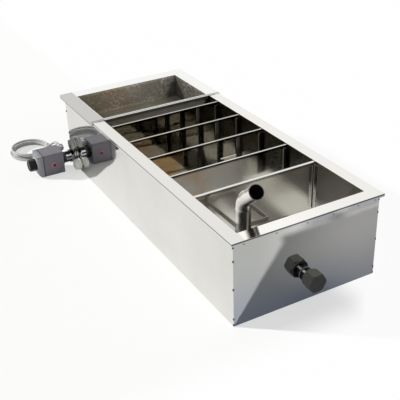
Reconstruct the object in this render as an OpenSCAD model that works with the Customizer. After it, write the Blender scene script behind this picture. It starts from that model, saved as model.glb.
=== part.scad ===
// Double-walled settling tank for warm honey: a flanged inner tank hangs in an outer
// shell, the space between them is a water jacket, and a screw-in heater with a
// control head warms the water. Lengths are in millimetres. The origin is the middle
// of the flat bottom, Y runs along the tank, -Y is the outlet end and Z is up.

/* [Tank] */
// Width of the outer shell
body_w = 400; // [380:5:420]
// Length of the outer shell
body_l = 1000; // [980:5:1020]
// Height from the ground to the top of the rim
body_h = 225; // [215:5:245]
// Thickness of the sheet steel
sheet = 1.2; // [1:0.1:1.5]
// Distance from the outer face of the shell to the inner face of the inner tank
jacket_w = 25.5; // [24:0.5:30]
// Height of the inner floor above the ground
floor_z = 58; // [56:1:59]

/* [Rim] */
// How far the rim stands out past the shell
rim_over = 8; // [6:1:12]
// Depth of the rim's turned-down lip
rim_lip = 8; // [6:1:14]

/* [Dividers] */
// Place of the fixed divider along the tank
fixed_y = -280; // [-290:5:-270]
// Distance from one divider to the next
divider_pitch = 120; // [110:2:120]
// Depth of the folded bead along a lift-out divider's top
bead_h = 9; // [7:1:11]
// Thickness of that bead
bead_t = 4; // [3:0.5:5]
// Thickness of the fixed divider's bead
fixed_bead_t = 7.5; // [6:0.5:9]
// Width of the fixed divider's side flanges
fixed_flange = 17; // [14:1:20]
// Width and height of the flow notch in the lower corner of a divider
notch_w = 64; // [50:2:80]
notch_h = 42; // [30:2:50]

/* [Sieve tray] */
// Front and back edge of the tray's opening
tray_y0 = 263; // [260:1:268]
tray_y1 = 468; // [460:1:470]
// Half the width of the tray's opening
tray_x = 170; // [165:1:171]
// Height of the tray's bottom above the ground
tray_z = 155; // [140:1:165]
// Number of slots across and along the tray's bottom
slots_x = 14; // [8:1:14]
slots_y = 8; // [4:1:8]

/* [Suction pipe] */
// Outer diameter of the pipe
pipe_d = 36; // [34:1:40]
// Wall of the pipe
pipe_wall = 1.5; // [1.5:0.5:2]
// Place of the upright part
pipe_x = -98; // [-110:1:-90]
pipe_y = -380; // [-385:1:-375]
// Where the elbow starts above the ground
pipe_bend_z = 217; // [205:1:225]
// Bend radius, and the angle through which the pipe leans over
pipe_bend_r = 45; // [38:1:50]
pipe_lean = 52; // [45:1:56]
// Length of the leaning arm
pipe_arm = 69; // [60:1:80]
// Compass direction of the arm, where -90 is straight to the front
pipe_turn = -99; // [-110:1:-90]

/* [Outlet] */
// Place of the outlet's axis across and above the ground
outlet_x = -7; // [-60:1:60]
outlet_z = 75; // [75:1:90]
// Width of the cap across the flats
outlet_af = 44; // [42:1:48]
// How far the cap's end stands out from the front wall
outlet_reach = 50; // [46:1:58]

/* [Heater] */
// Place of the heater's axis along the tank and above the ground
heater_y = 468; // [464:1:469]
heater_z = 36; // [36:1:40]
// Distance from the shell to the head
head_gap = 48; // [46:1:60]
// Depth of the head's base and of its lid
head_base_d = 65; // [60:1:70]
head_lid_d = 16; // [14:1:20]
// Width and height of the head
head_w = 66; // [62:1:68]
head_h = 70; // [66:1:70]
// Outer diameter of the neck tube
neck_d = 34; // [32:1:34]

/* [Cable] */
// Diameter of the mains cable
cable_d = 7.5; // [7:0.5:8]
// Mean radius of the coil
coil_r = 62; // [58:1:66]
// Width and height of the coiled bundle
bundle_w = 26; // [20:1:28]
bundle_h = 26; // [20:1:28]

/* [Hidden] */

$fn = 64;

shell_x = body_w / 2;
shell_y = body_l / 2;
in_x = shell_x - jacket_w;
in_y = shell_y - jacket_w;
rim_x = shell_x + rim_over;
rim_y = shell_y + rim_over;

guide_gap = 3;
guide_d = 10;
guide_base = 1;
guide_top = body_h - bead_h - 4;
divider_top = body_h - 1;
divider_half = in_x - guide_base - 0.6;
divider_lift = 0.5;

function divider_y(i) = fixed_y + divider_pitch * (5 - i);

tray_rest = body_h;
tray_hook = 3;
tray_lip = 10;
tray_fold = 13;
slot_w = 4;
slot_l = 18;

elbow_extra = 0.3;
bracket_t = 2;
bracket_h = 13;
bracket_top = 160;
bracket_right = -17;
clip_t = 2;

socket_r = 16;
socket_bore = 12;
socket_out = 1.5;
seal_t = 1.2;
nipple_r = 15;
bore_r = 9.5;
cap_l = 32;

heater_socket_r = 22;
thread_r = neck_d / 2 - 0.15;
element_r = 4.2;
element_leg = 9;
element_end = 120;
pocket_r = 3.5;

wall_face = -shell_x;
head_x1 = wall_face - head_gap;
head_x0 = head_x1 - head_base_d;
lid_x0 = head_x0 - head_lid_d;
head_y0 = heater_y - head_w / 2;
head_z0 = 1;
head_wall = 3;
pillar = 5;
gasket_t = 0.8;
knob_af = 36;
knob_l = 22;
spindle_r = 3;

lamp_x = head_x1 - 32;
lamp_z = 34;
gland_y = heater_y + 20;
gland_z = 60;
elbow_out = 13;
boot_l = 24;

fill_y = 452;
fill_z = 80;
drain_y = 415;
drain_z = 27;
boss_r = 15;

coil_x = -294;
coil_y = 634;
plug_x = -300;
plug_y = 526;
plug_z = 18;

run_points = [
    [-235, 530, 60], [-235, 540, 59], [-236, 549, 56], [-239, 558, 51], [-246, 566, 44],
    [-256, 571, 37], [-268, 574, 30], [-281, 574, 25], [-294, 572, 21]
];
tail_points = [
    [-225, 632, 5.6], [-224.6, 618, 4.8], [-223.5, 604, 4.6], [-221.5, 588, 4.8],
    [-218.5, 571, 5.5], [-216, 556, 7.5], [-218, 544.8, 10.6], [-224.6, 535, 14],
    [-234, 528.5, 17], [-244, 526, 18]
];

// Upright hexagonal prism with both rims chamfered, on the Z axis
module hex_body(af, length, chamfer = 1.5) {
    outer = af / 2 / cos(30);
    intersection() {
        cylinder(h = length, r = outer, $fn = 6);
        rotate_extrude() polygon([
            [0, 0], [outer - chamfer, 0], [outer, chamfer * 0.6],
            [outer, length - chamfer * 0.6], [outer - chamfer, length], [0, length]
        ]);
    }
}

module ring(outer, inner, length) {
    difference() {
        cylinder(h = length, r = outer);
        translate([0, 0, -1]) cylinder(h = length + 2, r = inner);
    }
}

// Rectangle with round corners, made of squares and circles
module soft_rect(w, h, r) {
    translate([r, 0]) square([w - 2 * r, h]);
    translate([0, r]) square([w, h - 2 * r]);
    for (x = [r, w - r], y = [r, h - r]) translate([x, y]) circle(r = r, $fn = 32);
}

// Places its children on the front wall, with their Z axis pointing out of the wall
module on_front(x, z) {
    translate([x, -shell_y, z]) rotate([90, 0, 0]) children();
}

// Places its children on the left wall, with their Z axis pointing out of the wall
module on_left(y, z) {
    translate([wall_face, y, z]) rotate([0, -90, 0]) children();
}

// A frame of sheet in the XY plane between two rectangles about the origin
module flat_frame(out_x, out_y, hole_x, hole_y, t) {
    linear_extrude(t) difference() {
        square([2 * out_x, 2 * out_y], center = true);
        square([2 * hole_x, 2 * hole_y], center = true);
    }
}

module outer_shell() {
    color("silver") difference() {
        union() {
            translate([-shell_x, -shell_y, 0]) cube([body_w, body_l, sheet]);
            flat_frame(shell_x, shell_y, shell_x - sheet, shell_y - sheet, body_h - sheet);
        }
        on_front(outlet_x, outlet_z) translate([0, 0, -5]) cylinder(h = 10, r = socket_r);
        on_left(heater_y, heater_z) translate([0, 0, -5]) cylinder(h = 10, r = heater_socket_r);
        on_left(fill_y, fill_z) translate([0, 0, -5]) cylinder(h = 10, r = boss_r);
        on_left(drain_y, drain_z) translate([0, 0, -5]) cylinder(h = 10, r = boss_r);
    }
}

module inner_tank() {
    color("gainsboro") difference() {
        union() {
            translate([-in_x - sheet, -in_y - sheet, floor_z - sheet])
                cube([2 * (in_x + sheet), 2 * (in_y + sheet), sheet]);
            translate([0, 0, floor_z - sheet])
                flat_frame(in_x + sheet, in_y + sheet, in_x, in_y, body_h - floor_z);
        }
        on_front(outlet_x, outlet_z)
            translate([0, 0, -jacket_w - 5]) cylinder(h = 10, r = socket_r);
    }
}

// Flange welded on the inner tank's walls. It lies on the shell, closes the water jacket on
// top and has a turned-down lip.
module tank_rim() {
    color("gainsboro") {
        translate([0, 0, body_h - sheet]) flat_frame(rim_x, rim_y, in_x, in_y, sheet);
        translate([0, 0, body_h - rim_lip])
            flat_frame(rim_x, rim_y, rim_x - sheet, rim_y - sheet, rim_lip);
    }
}

// The tray hangs by three flanges on the tank's rim. Each flange hooks over the rim.
module sieve_tray() {
    wall_x = tray_x + sheet;
    hook_x = rim_x + tray_hook;
    back = rim_y + tray_hook;
    front = tray_y0 - tray_fold;
    color("lightgray") {
        difference() {
            translate([-wall_x, tray_y0 - sheet, tray_z])
                cube([2 * wall_x, tray_y1 - tray_y0 + 2 * sheet, tray_rest + sheet - tray_z]);
            translate([-tray_x, tray_y0, tray_z - 1])
                cube([2 * tray_x, tray_y1 - tray_y0, body_h]);
        }
        for (side = [-1, 1]) {
            translate([side > 0 ? tray_x : -hook_x, front, tray_rest])
                cube([hook_x - tray_x, back - front, sheet]);
            translate([side > 0 ? hook_x - sheet : -hook_x, front, tray_rest + sheet - tray_lip])
                cube([sheet, back - front, tray_lip]);
        }
        translate([-tray_x, tray_y1, tray_rest]) cube([2 * tray_x, back - tray_y1, sheet]);
        translate([-hook_x, back - sheet, tray_rest + sheet - tray_lip])
            cube([2 * hook_x, sheet, tray_lip]);
        translate([-tray_x, front, tray_rest]) cube([2 * tray_x, tray_fold, sheet]);
        translate([-tray_x, front, tray_rest + sheet - tray_lip])
            cube([2 * tray_x, sheet, tray_lip]);
    }
}

// Slotted sheet that closes the tray's bottom
module tray_grate() {
    pitch_x = 2 * tray_x / slots_x;
    pitch_y = (tray_y1 - tray_y0) / slots_y;
    color("darkgray") difference() {
        translate([-tray_x - sheet, tray_y0 - sheet, tray_z - sheet])
            cube([2 * (tray_x + sheet), tray_y1 - tray_y0 + 2 * sheet, sheet]);
        for (i = [0 : slots_x - 1], j = [0 : slots_y - 1])
            translate([
                -tray_x + pitch_x * (i + 0.5) - slot_w / 2,
                tray_y0 + pitch_y * (j + 0.5) - slot_l / 2,
                tray_z - 2 * sheet
            ]) cube([slot_w, slot_l, 3 * sheet]);
    }
}

// Lift-out divider: a sheet with a folded bead on top and a flow notch in one corner
module divider(i) {
    y = divider_y(i);
    side = i % 2 == 0 ? 1 : -1;
    bottom = floor_z + divider_lift;
    color("whitesmoke") {
        difference() {
            translate([-divider_half, y - sheet / 2, bottom])
                cube([2 * divider_half, sheet, divider_top - bottom - bead_h / 2]);
            translate([side > 0 ? divider_half - notch_w : -divider_half - 1, y - 5, bottom - 1])
                cube([notch_w + 1, 10, notch_h + 1]);
        }
        bead(divider_half, y, divider_top, bead_h, bead_t);
    }
}

// Folded bead: a flat strip with a half-round top, along X
module bead(half, y, top, h, t) {
    translate([-half, y, top - h]) rotate([90, 0, 90]) linear_extrude(2 * half) {
        translate([-t / 2, 0]) square([t, h - t / 2]);
        translate([0, h - t / 2]) circle(d = t, $fn = 24);
    }
}

// Fixed divider: side flanges folded to the front and welded to the walls. The honey
// passes under it.
module fixed_divider() {
    bottom = floor_z + 30;
    half = in_x;
    color("whitesmoke") {
        translate([-half, fixed_y - sheet / 2, bottom])
            cube([2 * half, sheet, divider_top - bottom - bead_h / 2]);
        for (side = [-1, 1])
            translate([side > 0 ? half - sheet : -half, fixed_y - fixed_flange, bottom])
                cube([sheet, fixed_flange, divider_top - bottom - bead_h]);
        bead(half, fixed_y, divider_top, bead_h + 2, fixed_bead_t);
    }
}

// U channel with its back on the wall, on the left side of the tank
module guide(i) {
    outer = guide_gap / 2 + guide_base;
    translate([-in_x, divider_y(i), floor_z]) linear_extrude(guide_top - floor_z) difference() {
        translate([0, -outer]) square([guide_d, 2 * outer]);
        translate([guide_base, -guide_gap / 2]) square([guide_d, guide_gap]);
    }
}

module left_guides() {
    color("silver") for (i = [1 : 4]) guide(i);
}

module right_guides() {
    color("silver") mirror([1, 0, 0]) for (i = [1 : 4]) guide(i);
}

// Solid rod along the pipe's middle line: upright, elbow and leaning arm. The ends grow
// by over, the straight parts reach into the elbow by lap, and the elbow grows by spare
// degrees at both ends.
module pipe_rod(r, elbow_r, over, lap, spare) {
    bottom = floor_z + 15 - over;
    translate([0, 0, bottom]) cylinder(h = pipe_bend_z - bottom + lap, r = r);
    rotate([0, 0, pipe_turn]) translate([pipe_bend_r, 0, pipe_bend_z]) {
        rotate([90, 0, 180]) rotate([0, 0, -spare]) rotate_extrude(angle = pipe_lean + 2 * spare)
            translate([pipe_bend_r, 0]) circle(r = elbow_r);
        rotate([0, pipe_lean, 0]) translate([-pipe_bend_r, 0, -lap])
            cylinder(h = pipe_arm + over + lap, r = r);
    }
}

// Upright pipe, a welded elbow with a slightly thicker wall, and a leaning arm for a hose
module suction_pipe() {
    r = pipe_d / 2;
    color("gainsboro") translate([pipe_x, pipe_y, 0]) difference() {
        pipe_rod(r, r + elbow_extra, 0, 1, 0);
        pipe_rod(r - pipe_wall, r - pipe_wall - 0.2, 1, 0, 1);
    }
}

// Flat strip bent to a U: it stands out from the fixed divider and carries the clip
module pipe_bracket() {
    back = fixed_y - sheet / 2;
    front = pipe_y + pipe_d / 2 + clip_t;
    z = bracket_top - bracket_h;
    color("silver") {
        translate([pipe_x - bracket_t / 2, front, z]) cube([bracket_t, back - front, bracket_h]);
        translate([bracket_right, front, z]) cube([bracket_t, back - front, bracket_h]);
        translate([pipe_x - bracket_t / 2, front, z])
            cube([bracket_right - pipe_x + bracket_t * 1.5, bracket_t, bracket_h]);
    }
}

module pipe_clip() {
    r = pipe_d / 2;
    color("darkgray") translate([pipe_x, pipe_y, bracket_top - bracket_h]) difference() {
        union() {
            cylinder(h = bracket_h, r = r + clip_t);
            translate([-7, 0, 0]) cube([14, r + clip_t, bracket_h]);
        }
        translate([0, 0, -1]) cylinder(h = bracket_h + 2, r = r);
    }
}

// Tube welded through both walls, threaded inside for the nipple
module outlet_socket() {
    color("silver") on_front(outlet_x, outlet_z)
        translate([0, 0, -jacket_w]) ring(socket_r, socket_bore, jacket_w + socket_out);
}

module outlet_seal() {
    color("black") on_front(outlet_x, outlet_z)
        translate([0, 0, socket_out]) ring(socket_r, socket_bore, seal_t);
}

// Nipple with a spigot in the socket, a shoulder on the seal and a free end in the cap
module outlet_nipple() {
    shoulder = socket_out + seal_t;
    color("#303234") on_front(outlet_x, outlet_z) difference() {
        union() {
            translate([0, 0, -16]) cylinder(h = 16 + shoulder, r = socket_bore - 0.15);
            translate([0, 0, shoulder])
                cylinder(h = outlet_reach - 8 - shoulder, r = nipple_r);
        }
        translate([0, 0, -17]) cylinder(h = outlet_reach + 20, r = bore_r);
    }
}

// Blind hexagonal cap with a narrow collar at its mouth
module outlet_cap() {
    color("#3e3f40") on_front(outlet_x, outlet_z)
        translate([0, 0, outlet_reach - cap_l]) difference() {
            union() {
                cylinder(h = 4, r = outlet_af / 2);
                translate([0, 0, 4]) hex_body(outlet_af, cap_l - 4, 2.2);
            }
            translate([0, 0, -1]) cylinder(h = cap_l - 6, r = nipple_r + 0.3);
        }
}

module heater_socket() {
    color("silver") on_left(heater_y, heater_z)
        translate([0, 0, -20]) ring(heater_socket_r, neck_d / 2, 26);
}

module heater_gasket() {
    color("firebrick") on_left(heater_y, heater_z)
        translate([0, 0, 6]) ring(heater_socket_r, neck_d / 2, 2);
}

// Screw plug with a hexagon and a hollow neck up to the head
module heater_neck() {
    color("lightgray") on_left(heater_y, heater_z) difference() {
        union() {
            translate([0, 0, -18]) cylinder(h = 26, r = thread_r);
            translate([0, 0, 8]) hex_body(41, 9, 1.5);
            translate([0, 0, 17]) cylinder(h = head_gap - 17 + head_wall, r = neck_d / 2);
        }
        translate([0, 0, -12]) cylinder(h = head_gap + 20, r = neck_d / 2 - 3);
        for (side = [-1, 1])
            translate([side * element_leg, 0, -20]) cylinder(h = 10, r = element_r);
        translate([0, 0, -20]) cylinder(h = 10, r = pocket_r);
    }
}

// Rod bent to a U that lies in the water under the inner floor
module heating_element() {
    start = wall_face + 5;
    color("sienna") translate([0, heater_y, heater_z]) {
        for (side = [-1, 1])
            translate([start, 0, side * element_leg]) rotate([0, 90, 0])
                cylinder(h = element_end - start, r = element_r);
        translate([element_end, 0, 0]) rotate([90, 0, 0]) rotate([0, 0, -90])
            rotate_extrude(angle = 180) translate([element_leg, 0]) circle(r = element_r);
    }
}

module sensor_pocket() {
    color("silver") translate([wall_face + 5, heater_y, heater_z]) rotate([0, 90, 0]) {
        cylinder(h = 150, r = pocket_r);
        translate([0, 0, 150]) sphere(r = pocket_r);
    }
}

module neck_ring() {
    color("#2d2f24") on_left(heater_y, heater_z)
        translate([0, 0, head_gap - 7]) ring(neck_d / 2 + 3.5, neck_d / 2, 7);
}

// Places a profile drawn in head coordinates (along the tank, up) at a distance x
module head_slab(x, t) {
    translate([x + t, head_y0, head_z0]) rotate([90, 0, -90])
        mirror([1, 0, 0]) linear_extrude(t) children();
}

// Moulded box, open towards the lid
module head_base() {
    color("#6e6c74") difference() {
        head_slab(head_x0 + gasket_t, head_base_d - gasket_t) soft_rect(head_w, head_h, 3);
        difference() {
            head_slab(head_x0 - 1, head_base_d - head_wall + 1)
                translate([head_wall, head_wall])
                    square([head_w - 2 * head_wall, head_h - 2 * head_wall]);
            for (y = [pillar, head_w - pillar], z = [pillar, head_h - pillar])
                translate([head_x0, head_y0 + y, head_z0 + z]) rotate([0, 90, 0])
                    cylinder(h = head_base_d - 18, r = 4.5, $fn = 32);
        }
        on_left(heater_y, heater_z) cylinder(h = head_gap + head_wall + 1, r = neck_d / 2);
        on_left(gland_y, gland_z) cylinder(h = head_gap + head_wall + 1, r = 8);
        translate([lamp_x, head_y0 - 1, lamp_z]) rotate([-90, 0, 0])
            cylinder(h = head_wall + 2, r = 5);
        for (y = [pillar, head_w - pillar], z = [pillar, head_h - pillar])
            translate([head_x0 - 1, head_y0 + y, head_z0 + z]) rotate([0, 90, 0])
                cylinder(h = 16, r = 1.6, $fn = 24);
    }
}

module head_gasket() {
    color("#222222") head_slab(head_x0, gasket_t) difference() {
        translate([0.6, 0.6]) soft_rect(head_w - 1.2, head_h - 1.2, 3);
        translate([9, 9]) square([head_w - 18, head_h - 18]);
        for (x = [pillar, head_w - pillar], y = [pillar, head_h - pillar])
            translate([x, y]) circle(r = 1.9, $fn = 24);
    }
}

// Lid with all four outer edges bevelled, hollow behind, with a hole for the spindle
module head_lid() {
    bevel = 5;
    color("#8a898f") difference() {
        intersection() {
            head_slab(lid_x0, head_lid_d) soft_rect(head_w, head_h, 3);
            translate([0, 0, head_z0]) linear_extrude(head_h)
                translate([lid_x0, head_y0]) bevelled(head_w, bevel);
            translate([0, head_y0 + head_w, 0]) rotate([90, 0, 0]) linear_extrude(head_w)
                translate([lid_x0, head_z0]) bevelled(head_h, bevel);
        }
        head_slab(head_x0 - head_lid_d + 4, head_lid_d)
            translate([10, 10]) square([head_w - 20, head_h - 20]);
        translate([lid_x0 - 1, heater_y, heater_z]) rotate([0, 90, 0])
            cylinder(h = 10, r = spindle_r + 0.3);
        for (y = [pillar, head_w - pillar], z = [pillar, head_h - pillar])
            translate([lid_x0 - 1, head_y0 + y, head_z0 + z]) rotate([0, 90, 0]) {
                cylinder(h = head_lid_d + 2, r = 1.6, $fn = 24);
                cylinder(h = 7, r = 3.2, $fn = 32);
            }
    }
}

// Outline of the lid seen from the side: a rectangle with two corners cut off
module bevelled(w, bevel) {
    polygon([
        [bevel, 0], [head_lid_d, 0], [head_lid_d, w], [bevel, w], [0, w - bevel], [0, bevel]
    ]);
}

module lid_screws() {
    color("silver")
        for (y = [pillar, head_w - pillar], z = [pillar, head_h - pillar])
            translate([lid_x0 + 3, head_y0 + y, head_z0 + z]) rotate([0, 90, 0]) difference() {
                union() {
                    cylinder(h = 3, r = 3, $fn = 32);
                    cylinder(h = 26, r = 1.6, $fn = 24);
                }
                translate([-2.5, -0.4, -1]) cube([5, 0.8, 2]);
            }
}

// Flat ring with raised marks behind the knob
module dial_ring() {
    color("lightgray") translate([lid_x0, heater_y, heater_z]) rotate([0, -90, 0]) {
        ring(23, 15, 1);
        for (i = [0 : 10])
            rotate([0, 0, -135 + 27 * i]) translate([20.2, -0.5, 0.5]) cube([2.2, 1, 0.9]);
    }
}

// Octagonal knob on a round skirt
module knob() {
    color("#151515") translate([lid_x0 - 1.7, heater_y, heater_z]) rotate([0, -90, 0]) difference() {
        union() {
            cylinder(h = 3, r = knob_af / 2 + 1);
            intersection() {
                translate([0, 0, 3]) rotate([0, 0, 22.5])
                    cylinder(h = knob_l - 3, r = knob_af / 2 / cos(22.5), $fn = 8);
                rotate_extrude() polygon([
                    [0, 0], [knob_af / 2 + 2, 0], [knob_af / 2 + 1, knob_l - 3],
                    [knob_af / 2 - 2, knob_l], [0, knob_l]
                ]);
            }
        }
        translate([0, 0, knob_l - 1]) cylinder(h = 2, r = knob_af / 2 - 6);
        translate([0, 0, -1]) cylinder(h = 15, r = spindle_r);
        translate([knob_af / 2 - 5, -0.8, knob_l - 2]) cube([8, 1.6, 4]);
    }
}

module spindle() {
    color("silver") translate([lid_x0 - 15.7, heater_y, heater_z]) rotate([0, 90, 0])
        cylinder(h = 29, r = spindle_r);
}

// Block behind the lid with a bore in which the spindle turns
module temperature_switch() {
    color("tan") difference() {
        translate([lid_x0 + 4, heater_y - 16, heater_z - 16]) cube([28, 32, 32]);
        translate([lid_x0, heater_y, heater_z]) rotate([0, 90, 0])
            cylinder(h = 22, r = spindle_r + 0.05);
    }
}

module terminal_block() {
    x = head_x1 - head_wall - 12;
    y = head_y0 + head_wall;
    color("ivory") difference() {
        translate([x, y, head_z0 + 8]) cube([12, 11, 44]);
        for (i = [0 : 3])
            translate([x - 1, y + 5.5, head_z0 + 14 + 10.5 * i]) rotate([0, 90, 0])
                cylinder(h = 6, r = 2.2, $fn = 24);
    }
}

module lamp_bezel() {
    color("lightgray") translate([lamp_x, head_y0, lamp_z]) rotate([90, 0, 0])
        rotate_extrude() polygon([[5, 0], [8.5, 0], [8.5, 0.6], [7.2, 1.8], [5, 1.8]]);
}

module lamp_lens() {
    color("#7a0f1c") translate([lamp_x, head_y0, lamp_z]) rotate([90, 0, 0]) {
        translate([0, 0, -8]) cylinder(h = 9, r = 4.9);
        intersection() {
            translate([0, 0, -3.5]) sphere(r = 6.7);
            translate([0, 0, 0.9]) cylinder(h = 5, r = 4.9);
        }
    }
}

// Places its children at the gland's elbow, with their Z axis pointing to the back
module at_elbow() {
    translate([head_x1 + elbow_out, gland_y, gland_z]) rotate([-90, 0, 0]) children();
}

// Threaded spigot, hexagon and elbow of the cable gland
module gland_body() {
    color("lightgray") difference() {
        union() {
            translate([head_x1 - 9, gland_y, gland_z]) rotate([0, 90, 0]) {
                cylinder(h = 9 + elbow_out, r = 8);
                translate([0, 0, 9]) hex_body(18, 2.4, 1);
            }
            translate([head_x1 + elbow_out, gland_y, gland_z]) sphere(r = 8);
            at_elbow() cylinder(h = 10, r = 7.5);
        }
        translate([head_x1 - 10, gland_y, gland_z]) rotate([0, 90, 0])
            cylinder(h = 10 + elbow_out, r = cable_d / 2 + 0.2);
        at_elbow() cylinder(h = 20, r = cable_d / 2 + 0.2);
    }
}

// Ribbed gland nut that closes on the boot
module gland_nut() {
    color("gainsboro") at_elbow() translate([0, 0, 8]) difference() {
        union() {
            rotate_extrude() polygon([[0, 0], [9.4, 0], [9.4, 6], [8.6, 8.6], [7, 10], [0, 10]]);
            for (i = [0 : 11])
                rotate([0, 0, 30 * i]) translate([8, -0.8, 0.5]) cube([2.2, 1.6, 4.8]);
        }
        translate([0, 0, -1]) cylinder(h = 5, r = 7.6);
        cylinder(h = 20, r = 5.6);
    }
}

// Tapered boot that keeps the cable from kinking, with ring grooves
module cable_boot() {
    color("lightgray") at_elbow() translate([0, 0, 12]) rotate_extrude() difference() {
        polygon([[0, 0], [5.6, 0], [5.6, 6], [6.4, 6], [6.4, 8], [4.6, 6 + boot_l], [0, 6 + boot_l]]);
        for (i = [0 : 3]) translate([5.3 - 0.3 * i, 11 + 4 * i]) square([3, 1.6]);
    }
}

module boss(y, z) {
    color("silver") on_left(y, z) translate([0, 0, -14]) ring(boss_r, 10, 18);
}

module fill_socket() {
    boss(fill_y, fill_z);
}

module drain_socket() {
    boss(drain_y, drain_z);
}

// Hexagon-head plug of the filling hole, also used to read the water level
module fill_plug() {
    color("gainsboro") on_left(fill_y, fill_z) {
        translate([0, 0, -8]) cylinder(h = 12, r = 9.85);
        translate([0, 0, 4]) cylinder(h = 3, r = 18.5);
        translate([0, 0, 7]) hex_body(32, 11, 2);
    }
}

// Round-nosed drain plug with finger grooves
module drain_plug() {
    color("lightgray") on_left(drain_y, drain_z) difference() {
        union() {
            translate([0, 0, -8]) cylinder(h = 12, r = 9.85);
            translate([0, 0, 4]) rotate_extrude() polygon([
                [0, 0], [17, 0], [17, 12], [15.5, 16], [12, 18.5], [0, 20]
            ]);
        }
        for (i = [0 : 11])
            rotate([0, 0, 30 * i]) translate([17.8, 0, 7]) cylinder(h = 20, r = 2, $fn = 24);
    }
}

// Point on the smooth curve through four neighbouring points
function blend(a, b, c, d, t) =
    0.5 * (2 * b + (c - a) * t + (2 * a - 5 * b + 4 * c - d) * t * t
        + (3 * b - a - 3 * c + d) * t * t * t);

function at(p, i) = p[max(0, min(len(p) - 1, i))];

function smooth(p, n) = [
    for (i = [0 : len(p) - 2], k = [0 : n - 1])
        blend(at(p, i - 1), p[i], p[i + 1], at(p, i + 2), k / n),
    p[len(p) - 1]
];

function unit(v) = v / norm(v);

// Ring of points round the curve's point i, square to the curve
function ring_points(p, i, r, sides) =
    let (
        along = unit(at(p, i + 1) - at(p, i - 1)),
        across = unit(cross(along, [0.12, 0.1, 1])),
        up = cross(across, along)
    )
    [for (k = [0 : sides - 1])
        p[i] + r * (cos(360 * k / sides) * across + sin(360 * k / sides) * up)];

module swept_cable(points, r, sides = 10) {
    p = smooth(points, 2);
    n = len(p);
    rings = [for (i = [0 : n - 1]) each ring_points(p, i, r, sides)];
    walls = [
        for (i = [0 : n - 2], k = [0 : sides - 1])
            [i * sides + k, i * sides + (k + 1) % sides,
                (i + 1) * sides + (k + 1) % sides, (i + 1) * sides + k]
    ];
    caps = [
        [for (k = [sides - 1 : -1 : 0]) k],
        [for (k = [0 : sides - 1]) (n - 1) * sides + k]
    ];
    polyhedron(points = rings, faces = concat(walls, caps), convexity = 6);
}

module cable_run() {
    color("lightgray") swept_cable(run_points, cable_d / 2);
}

module cable_coil() {
    color("lightgray") translate([coil_x, coil_y, 0.5]) rotate_extrude()
        translate([coil_r - bundle_w / 2, 0]) soft_rect(bundle_w, bundle_h, 6);
}

module cable_tail() {
    color("lightgray") swept_cable(tail_points, cable_d / 2);
}

// Round two-pin plug that lies on its side, with finger grips and a short strain relief
module plug_body() {
    color("lightgray") translate([plug_x, plug_y, plug_z]) rotate([0, 90, 0]) difference() {
        rotate_extrude() polygon([
            [0, 0], [18, 0], [18, 14], [16, 20], [12, 25], [8, 28], [7, 31], [4.6, 56], [0, 56]
        ]);
        for (side = [-1, 1])
            translate([side * 25, 0, 4]) cylinder(h = 12, r = 10, $fn = 48);
        for (side = [-1, 1])
            translate([0, side * 9.5, -1]) cylinder(h = 8, r = 2.4, $fn = 32);
    }
}

module plug_pins() {
    color("silver") translate([plug_x, plug_y, plug_z]) rotate([0, -90, 0])
        for (side = [-1, 1]) translate([0, side * 9.5, -7]) {
            cylinder(h = 24, r = 2.4, $fn = 32);
            translate([0, 0, 24]) sphere(r = 2.4, $fn = 24);
        }
}

outer_shell();
inner_tank();
tank_rim();
sieve_tray();
tray_grate();
divider(1);  // divider_1
divider(2);  // divider_2
divider(3);  // divider_3
divider(4);  // divider_4
fixed_divider();
left_guides();
right_guides();
suction_pipe();
pipe_bracket();
pipe_clip();
outlet_socket();
outlet_seal();
outlet_nipple();
outlet_cap();
heater_socket();
heater_gasket();
heater_neck();
heating_element();
sensor_pocket();
neck_ring();
head_base();
head_gasket();
head_lid();
lid_screws();
dial_ring();
knob();
spindle();
temperature_switch();
terminal_block();
lamp_bezel();
lamp_lens();
gland_body();
gland_nut();
cable_boot();
fill_socket();
fill_plug();
drain_socket();
drain_plug();
cable_run();
cable_coil();
cable_tail();
plug_body();
plug_pins();
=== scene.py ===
"""Looks of the double settling tank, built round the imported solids.

Every length is in metres. The frame is the one of the solids: the origin is the middle of the
flat bottom, Y runs along the tank, -Y is the outlet end and Z is up.
"""

import math

import bpy
import numpy as np
from mathutils import Matrix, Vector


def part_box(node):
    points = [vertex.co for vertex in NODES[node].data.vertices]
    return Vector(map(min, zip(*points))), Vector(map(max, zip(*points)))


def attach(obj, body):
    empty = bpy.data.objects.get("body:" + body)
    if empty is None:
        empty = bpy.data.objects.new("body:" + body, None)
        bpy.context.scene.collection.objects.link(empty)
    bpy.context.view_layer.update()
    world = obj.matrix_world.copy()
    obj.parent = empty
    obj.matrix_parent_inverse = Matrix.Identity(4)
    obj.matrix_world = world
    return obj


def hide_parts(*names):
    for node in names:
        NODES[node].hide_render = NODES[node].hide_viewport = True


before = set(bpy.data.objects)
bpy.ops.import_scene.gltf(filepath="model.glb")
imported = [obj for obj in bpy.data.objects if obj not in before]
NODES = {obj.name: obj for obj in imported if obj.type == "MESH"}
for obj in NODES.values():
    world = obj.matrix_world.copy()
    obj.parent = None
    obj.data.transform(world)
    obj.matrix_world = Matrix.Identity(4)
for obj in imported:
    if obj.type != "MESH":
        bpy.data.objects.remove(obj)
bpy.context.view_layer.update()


# Measures taken from the solids
def extent(name):
    """The low and the high corner of a solid, to a tenth of a millimetre."""
    return [[round(value, 4) for value in corner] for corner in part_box(name)]


def middle(name):
    """The middle of a solid's box."""
    low, high = extent(name)
    return [round((a + b) / 2, 4) for a, b in zip(low, high)]


def round_radius(name):
    """The radius of a round solid that lies along X or Y."""
    low, high = extent(name)
    return round((high[2] - low[2]) / 2, 4)


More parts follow.
